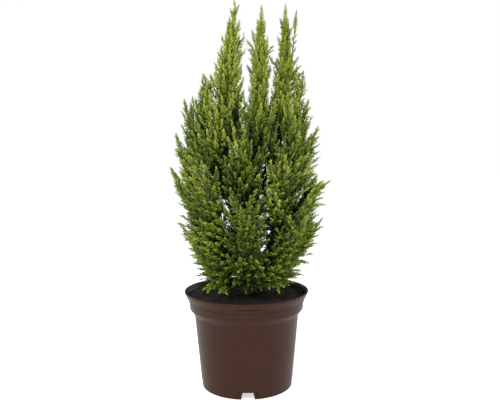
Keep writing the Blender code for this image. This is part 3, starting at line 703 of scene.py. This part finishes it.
# ---- the spires above the crown's body: reach to the side and to the front at each height
SPIRES = {
    "spire_left": ("leader_left", ((400, 30, 40), (440, 34, 36), (475, 26, 27), (500, 19, 20), (530, 13, 14), (556, 8, 8)),
                   ("spire_left", "spire_left_outer")),
    "spire_middle": ("trunk", ((400, 18, 36), (440, 15, 27), (475, 17, 20), (500, 15, 16), (520, 12, 12), (545, 6, 6)),
                     ("spire_middle",)),
    "spire_right": ("leader_right", ((400, 30, 38), (440, 26, 31), (475, 22, 23), (500, 14, 15), (520, 9, 10), (545, 5, 6)),
                    ("spire_right", "spire_right_outer")),
}
for name, (limb, rows, own) in SPIRES.items():
    run = limb_runs[limb]
    zs = [row[0] for row in rows]
    for _ in range(2200):
        z = chance.uniform(404, 560)
        angle = chance.uniform(0, 2 * math.pi)
        wide, deep = np.interp(z, zs, [r[1] for r in rows]), np.interp(z, zs, [r[2] for r in rows])
        shrink = chance.uniform(0.74, 1.06)
        heart = run.at(run.height(z))
        tip = heart + Vector((wide * math.cos(angle), deep * math.sin(angle), 0)) * shrink
        left, right, _deep = reach(z)
        if not -left + 4 < tip.x < right - 4:
            continue
        gap = 9.6 if z < 480 else 8.4
        if not free_at(tip, gap):
            continue
        placed.append(tip)
        grown += 1
        out = Vector((math.cos(angle), math.sin(angle), 0))
        steep = math.radians(rise(z) + chance.gauss(0, 5))
        way = (out * math.cos(steep) + Vector((0, 0, 1)) * math.sin(steep)).normalized()
        # Painted shade: the sprays of the right spire are dealt darker tones than those of the other spires.
        tone = 0.7 + chance.gauss(0, 0.5) + (0.5 if name == "spire_right" else 0.0)
        grow_to(tip, way, chance.uniform(36, 50), chance.uniform(28, 38), facing(way, 0.35), tone, list(own),
                reach_most=chance.uniform(9, 13), pace=4.3)

# ---- low sprays at both sides, over the pot's lip
for side in (-1, 1):
    for k in range(26):
        z = 160 + 3.2 * k + chance.uniform(-3, 3)
        left, right, deep = reach(z)
        y = chance.uniform(-42, 42)
        x = side * (right if side > 0 else left) * math.sqrt(1 - (y / deep) ** 2) * chance.uniform(0.90, 0.99)
        tip = Vector((x, y, z))
        out = Vector((side, y / deep * 0.9, 0)).normalized()
        steep = math.radians(rise(z) + chance.gauss(0, 8))
        way = (out * math.cos(steep) + Vector((0, 0, 1)) * math.sin(steep)).normalized()
        grow_to(tip, way, 46, 42, facing(way, 0.8), 1.4 + chance.gauss(0, 0.4), reach_most=19, pace=4.0)

# ---- fans over the seams between neighbouring masses, at the front and at the back
for seam, where, low, high in ((22, -1, 186, 350), (-30, -1, 186, 350), (2, -1, 300, 380), (-22, 1, 190, 350), (26, 1, 190, 350)):
    for k in range(14):
        z = low + (high - low) * (k + 0.5) / 14
        left, right, deep = reach(z)
        x = seam + chance.uniform(-7, 7)
        a = right if x > 0 else left
        y = where * deep * math.sqrt(1 - (x / a) ** 2) * chance.uniform(0.74, 0.90)
        out = Vector((x / a * 0.4, y / deep, 0)).normalized()
        steep = math.radians(rise(z) + 22 + chance.gauss(0, 8))
        way = (out * math.cos(steep) + Vector((0, 0, 1)) * math.sin(steep)).normalized()
        grow_to(Vector((x, y, z)), way, 50, 44, facing(way, 0.8), 2.4 + chance.gauss(0, 0.5), reach_most=19, pace=4.6)

# ---- a second layer behind the crown's surface, dealt darker tones as painted shade
for _ in range(210):
    z = chance.uniform(190, 410)
    left, right, deep = reach(z)
    angle = chance.gauss(-math.pi / 2, 0.75) if chance.random() < 0.6 else chance.uniform(0, 2 * math.pi)
    a = right if math.cos(angle) > 0 else left
    share = chance.uniform(0.66, 0.84)
    tip = Vector((a * math.cos(angle), deep * math.sin(angle), 0)) * share + Vector((0, 0, z))
    out = Vector((math.cos(angle), math.sin(angle), 0))
    steep = math.radians(rise(z) + 10 + chance.gauss(0, 12))
    way = (out * math.cos(steep) + Vector((0, 0, 1)) * math.sin(steep)).normalized()
    grow_to(tip, way, 42, 36, facing(way, 0.5), 3.2 + chance.gauss(0, 0.5), reach_most=17, pace=5.4)

# ---- shoots inside the crown, sparse, with near black tones that are painted shade
for _ in range(560):
    z = chance.uniform(170, 430)
    left, right, deep = reach(z)
    angle = chance.uniform(0, 2 * math.pi)
    a = right if math.cos(angle) > 0 else left
    share = chance.uniform(0.35, 0.66)
    tip = Vector((a * math.cos(angle), deep * math.sin(angle), 0)) * share + Vector((0, 0, z))
    out = Vector((math.cos(angle), math.sin(angle), 0))
    steep = math.radians(rise(z) + 20 + chance.gauss(0, 14))
    way = (out * math.cos(steep) + Vector((0, 0, 1)) * math.sin(steep)).normalized()
    grow_to(tip, way, 36, 30, facing(way, 0.2), 5.2, reach_most=14, pace=6.0)


# ================================================================ leaves
def leaf(base, way, face, length, width):
    """An awl leaf of two faces that meet in a keel: foot, side, tip, side."""
    across = way.cross(face).normalized()
    middle = base + way * length * 0.40 - face * width * 0.20
    return [base, middle - across * width / 2, base + way * length + face * length * -0.05, middle + across * width / 2]


def finger_pattern(pairs, seed, core_sides=3):
    """Points and triangles of one finger along +Z, FINGER mm long, with which part each triangle
    is: 0 the axis, 1 the lower leaves, 2 the leaves at the tip."""
    dice = random.Random(seed)
    points, triangles, parts = [], [], []
    bend = dice.uniform(-0.012, 0.012)

    def bent(p):
        return Vector((p.x + bend * p.z * p.z, p.y, p.z))

    # the axis
    base = len(points)
    thick = 0.62
    for k in range(core_sides):
        angle = 2 * math.pi * k / core_sides
        points.append(Vector((thick * math.cos(angle), thick * math.sin(angle), 0)))
    points.append(bent(Vector((0, 0, FINGER * 0.86))))
    for k in range(core_sides):
        triangles.append((base + k, base + (k + 1) % core_sides, base + core_sides))
        parts.append(0)
    twist = dice.uniform(0, math.pi)
    for k in range(pairs):
        share = k / (pairs - 1)
        z = FINGER * (0.02 + 0.72 * share)
        open_angle = math.radians(36 - 17 * share + dice.uniform(-4, 4))
        length = FINGER * (0.40 - 0.09 * share) * dice.uniform(0.92, 1.1)
        width = 1.95 * (1 - 0.16 * share)
        for half in (0, 1):
            angle = twist + k * math.pi / 2 + half * math.pi + dice.uniform(-0.18, 0.18)
            out = Vector((math.cos(angle), math.sin(angle), 0))
            way = (out * math.sin(open_angle) + Vector((0, 0, 1)) * math.cos(open_angle)).normalized()
            face = (out * math.cos(open_angle) - Vector((0, 0, 1)) * math.sin(open_angle)).normalized()
            start = len(points)
            lift = dice.uniform(-0.25, 0.25)
            for p in leaf(Vector((0, 0, z + lift)) + out * 0.22, way, -face, length, width):
                points.append(bent(p))
            triangles += [(start, start + 1, start + 2), (start, start + 2, start + 3)]
            parts += [2 if share > 0.55 else 1] * 2
    return np.array(points, float), np.array(triangles, int), np.array(parts, int)


FULL = [finger_pattern(5, 100 + k) for k in range(10)]
SPARE = [finger_pattern(4, 200 + k) for k in range(6)]
SPARE_UNDER = 12.0   # mm under the crown's outline from where fingers are drawn with fewer leaves


def painted_light_and_shade(p):
    """Painted shade and light: how many steps darker a place in the crown is made than its depth alone makes it; darker
    in the middle, at the top and at the upper right, lighter at the right side below the top.
    """
    darker = 0.55 * math.exp(-(p.x / 34) ** 2 - ((p.z - 295) / 62) ** 2)
    darker += float(np.interp(p.z, (430, 470), (0.0, 0.25))) + (0.35 if p.z > 450 and p.x > 40 else 0.0)
    darker -= 0.5 * float(np.interp(p.x, (40, 75), (0, 1))) * float(np.interp(p.z, (330, 400), (1, 0)))
    return darker


def build_fingers(heap, rows):
    """All fingers of one piece."""
    by_pattern = {}
    for row in rows:
        deep = row[6]
        patterns = SPARE if deep > SPARE_UNDER else FULL
        k = chance.randrange(len(patterns))
        by_pattern.setdefault((patterns is SPARE, k), []).append(row)
    for (spare, k), own in sorted(by_pattern.items(), key=lambda item: item[0]):
        shape, triangles, parts = (SPARE if spare else FULL)[k]
        starts = np.array([row[0] for row in own])
        zs = np.array([row[1] for row in own])
        xs = np.array([row[2] for row in own])
        ys = np.cross(zs, xs)
        size = np.array([row[3] for row in own]) / FINGER
        fat = np.array([row[4] for row in own]) * (0.45 + 0.55 * size)
        points = (starts[:, None, :] + shape[None, :, 0:1] * (xs * fat[:, None])[:, None, :]
                  + shape[None, :, 1:2] * (ys * fat[:, None])[:, None, :]
                  + shape[None, :, 2:3] * (zs * size[:, None])[:, None, :])
        count = len(own)
        faces = triangles[None] + (np.arange(count) * len(shape))[:, None, None]
        # Painted shade: a finger is dealt a darker tone the deeper it lies under the crown's outline and the lower it
        # grows, and a darker or lighter one by place.
        tone = np.array([row[5] - 0.7 + painted_light_and_shade(row[0]) + max(0.0, row[6] - 8.0) * 0.085 + max(0.0, (330 - row[0].z) * 0.0045) for row in own])
        tone = np.clip(np.rint(tone), 0, 6).astype(int)
        # tip leaves a step lighter than the lower ones, and the axis a step darker
        step = np.array([2, 1, 0])[parts]
        heap.add(points.reshape(-1, 3), faces.reshape(-1, 3), (tone[:, None] + step[None, :]).ravel())


def build_twig(heap, line, first, last, index, sides):
    line = [Vector(p) for p in line]
    across, rings = None, []
    for k, centre in enumerate(line):
        along = (line[min(k + 1, len(line) - 1)] - line[max(k - 1, 0)]).normalized()
        across = square_to(across if across is not None else any_way(), along)
        over = along.cross(across)
        radius = first + (last - first) * k / (len(line) - 1)
        for i in range(sides):
            angle = 2 * math.pi * i / sides
            rings.append(centre + (across * math.cos(angle) + over * math.sin(angle)) * radius)
    faces = []
    for k in range(len(line) - 1):
        for i in range(sides):
            j = (i + 1) % sides
            a, b, c, d = k * sides + i, k * sides + j, (k + 1) * sides + j, (k + 1) * sides + i
            faces += [(a, b, c), (a, c, d)]
    heap.add([tuple(p) for p in rings], faces, index)


totals = {}
for piece, masses in PIECES.items():
    heap = Heap()
    build_fingers(heap, fingers[piece])
    points, triangles, indices = heap.arrays()
    add_piece("foliage_" + piece, metres(points), triangles, leaf_tones, indices, stands_for=masses)
    totals["foliage_" + piece] = len(triangles)
    heap = Heap()
    for line, first, last, tone, sides in twigs[piece]:
        # Painted shade: a twig is dealt a darker tone the deeper it lies in the crown.
        middle = Vector(line[len(line) // 2])
        deep = depth_in_crown(middle)
        if sides == 3:
            index = 0 if tone < 1.7 and deep < 9 else 1 if deep < 16 else 3 if deep < 30 else 4
        else:
            index = 1 if deep < 11 else 2 if deep < 20 else 3 if deep < 32 else 4
        build_twig(heap, line, first, last, index, sides)
    points, triangles, indices = heap.arrays()
    add_piece("twigs_" + piece, metres(points), triangles, twig_tones, indices, smooth=True)
    totals["twigs_" + piece] = len(triangles)


# ================================================================ bark
def bark_tube(heap, run, radius_at, sides, rings, level_start=False, flare=0.0, seed=0.0):
    """A limb with the relief of its bark: shallow furrows along it and flakes across."""
    points, faces, across = [], [], None
    for k in range(rings + 1):
        s = run.length * k / rings
        centre = run.at(s)
        along = run.way(s)
        if level_start and k == 0:
            along = Vector((0, 0, 1))
        across = square_to(across if across is not None else Vector((1, 0, 0)), along)
        over = along.cross(across)
        radius = radius_at(s)
        for i in range(sides):
            angle = 2 * math.pi * i / sides
            ridge = noise.noise(Vector((math.cos(angle) * 2.6, math.sin(angle) * 2.6, s / 17 + seed)))
            flake = noise.noise(Vector((math.cos(angle) * 5.5, math.sin(angle) * 5.5, s / 5 - seed)))
            swell = flare * math.exp(-s / run.length / 0.02) * math.cos(4 * angle + 0.6)
            grown_radius = radius * (1 + swell + 0.16 * ridge + 0.10 * flake)
            points.append(centre + (across * math.cos(angle) + over * math.sin(angle)) * grown_radius)
    for k in range(rings):
        for i in range(sides):
            j = (i + 1) % sides
            a, b, c, d = k * sides + i, k * sides + j, (k + 1) * sides + j, (k + 1) * sides + i
            faces += [(a, b, c), (a, c, d)]
    low, high = len(points), len(points) + 1
    points += [run.at(0), run.at(run.length)]
    for i in range(sides):
        j = (i + 1) % sides
        faces += [(low, j, i), (high, rings * sides + i, rings * sides + j)]
    heap.add([tuple(p) for p in points], faces, 0)


for name in LIMBS:
    heap = Heap()
    run = limb_wood[name]
    bark_tube(heap, run, lambda s, name=name: limb_radius(name, s), 20 if name == "trunk" else 14,
              130 if name == "trunk" else 90, level_start=name == "trunk", flare=LIMBS[name]["flare"], seed=3.7)
    points, triangles, indices = heap.arrays()
    add_piece(name + "_bark", metres(points), triangles, [bark_finish], smooth=True, stands_for=[name])
    totals[name + "_bark"] = len(triangles)

heap, bough_names = Heap(), []
for number, (name, run) in enumerate(shoots.items()):
    if MASSES[name][1] is None:
        continue
    limb, height = MASSES[name][0], MASSES[name][1]
    thick = limb_radius(limb, min(limb_runs[limb].height(height), limb_wood[limb].length))
    first, last = min(0.72 * thick, 2.6), min(0.46 * thick, 1.5)
    bare = shoot_bare[name]
    bark_tube(heap, run, lambda s, first=first, last=last, bare=bare, total=run.length:
              float(np.interp(s, (0, bare, total - 6, total), (first, last, 0.45, 0.25))),
              9, max(12, int(run.length / 3.5)), seed=number * 1.3)
    bough_names.append("bough_" + name)
points, triangles, indices = heap.arrays()
add_piece("boughs_bark", metres(points), triangles, [bark_finish], smooth=True, stands_for=bough_names)
totals["boughs_bark"] = len(triangles)


# ================================================================ pot
POT_OUTSIDE = (
    (69.3, 0.0), (69.75, 4.0), (70.9, 16.0), (75.3, 63.0), (79.75, 110.4), (80.0, 111.2),
    (80.6, 112.4), (84.4, 117.4), (86.7, 120.4), (87.0, 121.4), (87.6, 129.4),
    (89.9, 135.2), (90.2, 135.9), (90.5, 136.5), (90.25, 136.9), (90.9, 137.3), (92.0, 139.4), (94.2, 143.8),
    (94.8, 145.2), (95.0, 146.2), (94.9, 146.7), (94.6, 147.0),
)
FOOT_HEIGHT, POT_WALL = 10.4, 1.8
POT_SIDES = 160
POT_TURN = math.radians(1.25)


def round_object(name, points, faces, finish=None, smooth_angle=None):
    mesh = bpy.data.meshes.new(name)
    mesh.from_pydata([tuple(p) for p in points], [], faces)
    work = bmesh.new()
    work.from_mesh(mesh)
    bmesh.ops.recalc_face_normals(work, faces=work.faces)
    work.to_mesh(mesh)
    work.free()
    made = bpy.data.objects.new(name, mesh)
    bpy.context.scene.collection.objects.link(made)
    if finish:
        mesh.materials.append(finish)
    return made


def turned(profile, sides):
    points, faces, rings = [], [], []
    for radius, height in profile:
        if radius == 0.0:
            rings.append([len(points)])
            points.append(Vector((0.0, 0.0, height)))
            continue
        rings.append(list(range(len(points), len(points) + sides)))
        for i in range(sides):
            angle = 2 * math.pi * i / sides
            points.append(Vector((radius * math.cos(angle), radius * math.sin(angle), height)))
    for low, high in zip(rings, rings[1:]):
        for i in range(sides):
            j = (i + 1) % sides
            if len(low) == 1:
                faces.append((low[0], high[i], high[j]))
            elif len(high) == 1:
                faces.append((low[i], high[0], low[j]))
            else:
                faces.append((low[i], high[i], high[j], low[j]))
    return points, faces


def sector(r_in, r_out, low, high, middle, half, steps):
    points, faces = [], []
    for k in range(steps + 1):
        angle = middle - half + 2 * half * k / steps
        for radius, height in ((r_in, low), (r_out, low), (r_out, high), (r_in, high)):
            points.append(Vector((radius * math.cos(angle), radius * math.sin(angle), height)))
    for k in range(steps):
        a, b = 4 * k, 4 * (k + 1)
        for i in range(4):
            j = (i + 1) % 4
            faces.append((a + i, b + i, b + j, a + j))
    faces.append((0, 1, 2, 3))
    last = 4 * steps
    faces.append((last + 3, last + 2, last + 1, last))
    return points, faces


def in_metres(points):
    return [(p + AXIS) * MM for p in points]


pot_plastic = mottled("pot_plastic_finish", (0.037, 0.0134, 0.0074), (0.041, 0.0152, 0.0088), 26, 4, 0.42, 0.12,
                      bump=0.05, bump_scale=900, spread=(0.3, 0.7), rough_spread=0.03)
profile = [(0.0, FOOT_HEIGHT), (66.4, FOOT_HEIGHT), (67.0, FOOT_HEIGHT - 0.6), (67.5, 0.4), (67.9, 0.0), (68.9, 0.0),
           (69.25, 0.3)]
profile += [row for row in POT_OUTSIDE[1:]]
profile += [(94.1, 147.0), (93.5, 146.9), (93.1, 146.6), (92.9, 146.1)]
inside = [(r - POT_WALL, h - 0.4 * POT_WALL) for r, h in POT_OUTSIDE[3:18] if h not in (136.5, 136.9)]
floor_height = FOOT_HEIGHT + POT_WALL
wall_foot = 69.3 + (70.9 - 69.3) * floor_height / 16.0 - POT_WALL
profile += list(reversed(inside)) + [(wall_foot + 0.2, floor_height + 1.0), (wall_foot - 1.0, floor_height), (0.0, floor_height)]
points, faces = turned(profile, POT_SIDES)
pot = round_object("pot_shell", in_metres(points), faces, pot_plastic)

cutters = []
for k in range(4):
    angle = -math.pi / 2 + POT_TURN + k * math.pi / 2
    points, faces = sector(69.3 - 0.75, 69.3 + 6, -2, 12.4, angle, math.radians(12.6), 22)
    cutters.append(round_object(f"panel_{k}", in_metres(points), faces))
    out = Vector((math.cos(angle), math.sin(angle), 0.0))
    side = Vector((-out.y, out.x, 0.0))
    points = []
    for far in (58, 78):
        for height, sign in ((-2, -1), (-2, 1), (9.2, 1), (10.0, 0.93), (10.0, -0.93), (9.2, -1)):
            half = (20.0 - 0.43 * height) / 2
            points.append(out * far + side * (sign * half) + Vector((0, 0, height)))
    n = 6
    faces = [tuple(range(n)), tuple(reversed(range(n, 2 * n)))] + [(i, n + i, n + (i + 1) % n, (i + 1) % n) for i in range(n)]
    cutters.append(round_object(f"notch_{k}", in_metres(points), faces))
points, faces = sector(90.7, 96, 138.4 - 0.75, 138.4 + 0.75, -math.pi / 2 + POT_TURN, math.radians(11.0), 18)
cutters.append(round_object("label_slot", in_metres(points), faces))
for cutter in cutters:
    modifier = pot.modifiers.new("cut_" + cutter.name, "BOOLEAN")
    modifier.operation, modifier.solver, modifier.object = "DIFFERENCE", "EXACT", cutter
bpy.context.view_layer.update()
cut_mesh = bpy.data.meshes.new_from_object(pot.evaluated_get(bpy.context.evaluated_depsgraph_get()))
pot.modifiers.clear()
pot.data = cut_mesh
for cutter in cutters:
    bpy.data.objects.remove(cutter, do_unlink=True)
cut_mesh.materials.clear()
cut_mesh.materials.append(pot_plastic)
cut_mesh.shade_smooth()
cut_mesh.set_sharp_from_angle(angle=math.radians(32))
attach(pot, "root")
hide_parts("pot")


# ================================================================ compost
SOIL_LEVEL, SOIL_RADIUS = 140.2, 88.6
compost = mottled("compost_finish", (0.0045, 0.0038, 0.0032), (0.026, 0.020, 0.015), 420, 5, 0.92, 0.25,
                  bump=0.9, bump_scale=1500, spread=(0.40, 0.72))
heap = Heap()
rings, sides = 46, 150
points = [(0.0, 0.0, SOIL_LEVEL)]
for k in range(1, rings + 1):
    radius = SOIL_RADIUS * k / rings
    for i in range(sides):
        angle = 2 * math.pi * i / sides
        x, y = radius * math.cos(angle), radius * math.sin(angle)
        coarse = noise.noise(Vector((x / 17, y / 17, 2.0)))
        fine = noise.noise(Vector((x / 4.2, y / 4.2, 7.0)))
        crumb = noise.noise(Vector((x / 1.7, y / 1.7, 11.0)))
        heap_up = 2.6 * math.exp(-((x - 70) ** 2 + (y - 36) ** 2) / 520.0) + 1.2 * math.exp(-((x + 60) ** 2 + (y - 44) ** 2) / 400.0)
        edge = -0.8 if k == rings else 0.0
        points.append((x, y, SOIL_LEVEL + 1.1 * coarse + 0.9 * fine + 0.5 * crumb + heap_up + edge))
faces = []
for i in range(sides):
    faces.append((0, 1 + i, 1 + (i + 1) % sides))
for k in range(rings - 1):
    for i in range(sides):
        a, b = 1 + k * sides + i, 1 + k * sides + (i + 1) % sides
        faces += [(a, a + sides, b + sides), (a, b + sides, b)]
base = len(points)
for i in range(sides):
    angle = 2 * math.pi * i / sides
    points.append((SOIL_RADIUS * math.cos(angle), SOIL_RADIUS * math.sin(angle), SOIL_LEVEL - 9))
outer = 1 + (rings - 1) * sides
for i in range(sides):
    j = (i + 1) % sides
    faces += [(outer + i, base + i, base + j), (outer + i, base + j, outer + j)]
points.append((0, 0, SOIL_LEVEL - 9))
for i in range(sides):
    faces.append((base + i, len(points) - 1, base + (i + 1) % sides))
heap.add(points, faces, 0)

# loose crumbs and bits of bark on top
ball = bmesh.new()
bmesh.ops.create_icosphere(ball, subdivisions=1, radius=1.0)
ball_points = np.array([v.co for v in ball.verts])
ball_faces = np.array([[v.index for v in f.verts] for f in ball.faces])
ball.free()
crumbs = []
for _ in range(1150):
    radius = SOIL_RADIUS * math.sqrt(chance.random())
    angle = chance.uniform(0, 2 * math.pi)
    crumbs.append((radius * math.cos(angle), radius * math.sin(angle), 0.5 + 1.5 * chance.random() ** 2.4))
for _ in range(190):
    angle = math.radians(chance.gauss(24, 17))
    radius = min(89.0, chance.gauss(84.5, 3.0))
    crumbs.append((radius * math.cos(angle), radius * math.sin(angle), chance.uniform(0.9, 2.6)))
for x, y, size in crumbs:
    far = math.hypot(x, y)
    if far > 90.3 - size:
        x, y = x * (90.3 - size) / far, y * (90.3 - size) / far
    lift = 2.6 * math.exp(-((x - 70) ** 2 + (y - 36) ** 2) / 520.0) + 1.2 * math.exp(-((x + 60) ** 2 + (y - 44) ** 2) / 400.0)
    if size > 2.0:
        lift += chance.uniform(0, 1.8)
    rough = np.array([chance.uniform(0.65, 1.2) for _ in ball_points])[:, None]
    shape = ball_points * rough * np.array([chance.uniform(0.7, 1.4), chance.uniform(0.6, 1.0), chance.uniform(0.45, 0.9)]) * size
    spin = np.array(Matrix.Rotation(chance.uniform(0, 6.28), 3, "Z") @ Matrix.Rotation(chance.gauss(0, 0.5), 3, "X"))
    heap.add(shape @ spin.T + np.array((x, y, SOIL_LEVEL + lift + 0.35 * size)), ball_faces, 0)
points, triangles, indices = heap.arrays()
add_piece("compost_top", metres(points), triangles, [compost], smooth=True, stands_for=["soil"])
totals["compost_top"] = len(triangles)


# ================================================================ floor and light
def pale_floor():
    made = plain("pale_floor", (0.86, 0.86, 0.86), 0.9, 0.0)
    shader = made.node_tree.nodes["Principled BSDF"]
    shader.inputs["Emission Color"].default_value = (1, 1, 1, 1)
    shader.inputs["Emission Strength"].default_value = 0.62
    return made


work = bmesh.new()
bmesh.ops.create_circle(work, cap_ends=True, segments=96, radius=9.0)
floor_mesh = bpy.data.meshes.new("floor")
work.to_mesh(floor_mesh)
work.free()
floor_mesh.materials.append(pale_floor())
floor = bpy.data.objects.new("floor", floor_mesh)
floor.location = (0, 0, -0.0002)
bpy.context.scene.collection.objects.link(floor)

world = bpy.data.worlds.new("studio")
world.use_nodes = True
nodes, links = world.node_tree.nodes, world.node_tree.links
nodes.clear()
out = nodes.new("ShaderNodeOutputWorld")
seen, lit = nodes.new("ShaderNodeBackground"), nodes.new("ShaderNodeBackground")
seen.inputs["Color"].default_value, seen.inputs["Strength"].default_value = (1, 1, 1, 1), 1.0
lit.inputs["Color"].default_value, lit.inputs["Strength"].default_value = (0.97, 0.985, 1.0, 1), 0.55
which, pick = nodes.new("ShaderNodeLightPath"), nodes.new("ShaderNodeMixShader")
links.new(which.outputs["Is Camera Ray"], pick.inputs["Fac"])
links.new(lit.outputs["Background"], pick.inputs[1])
links.new(seen.outputs["Background"], pick.inputs[2])
links.new(pick.outputs["Shader"], out.inputs["Surface"])
bpy.context.scene.world = world


def panel(name, at, aim, wide, high, power, tint=(1, 1, 1)):
    light = bpy.data.lights.new(name, "AREA")
    light.shape = "RECTANGLE"
    light.size, light.size_y, light.energy, light.color = wide, high, power, tint
    made = bpy.data.objects.new(name, light)
    bpy.context.scene.collection.objects.link(made)
    made.location = at
    made.rotation_euler = (Vector(aim) - Vector(at)).to_track_quat("-Z", "Y").to_euler()
    return made


panel("key", (-0.75, -1.25, 1.75), (0, 0, 0.32), 1.0, 1.0, 26, (1.0, 0.985, 0.95))
panel("fill", (1.3, -1.1, 1.0), (0, 0, 0.30), 0.9, 0.9, 7)
panel("behind_left", (-1.35, 1.2, 0.7), (0, 0, 0.25), 1.1, 1.4, 9)
panel("behind_right", (1.35, 1.2, 0.7), (0, 0, 0.25), 1.1, 1.4, 9)

scene = bpy.context.scene
scene.view_settings.view_transform = "Standard"
scene.view_settings.look = "None"
scene.view_settings.exposure = 0.0
scene.view_settings.gamma = 1.0

print("plumes scattered:", grown, "fingers:", sum(len(v) for v in fingers.values()), "twigs:", sum(len(v) for v in twigs.values()))
print("triangles:", sum(totals.values()), totals)
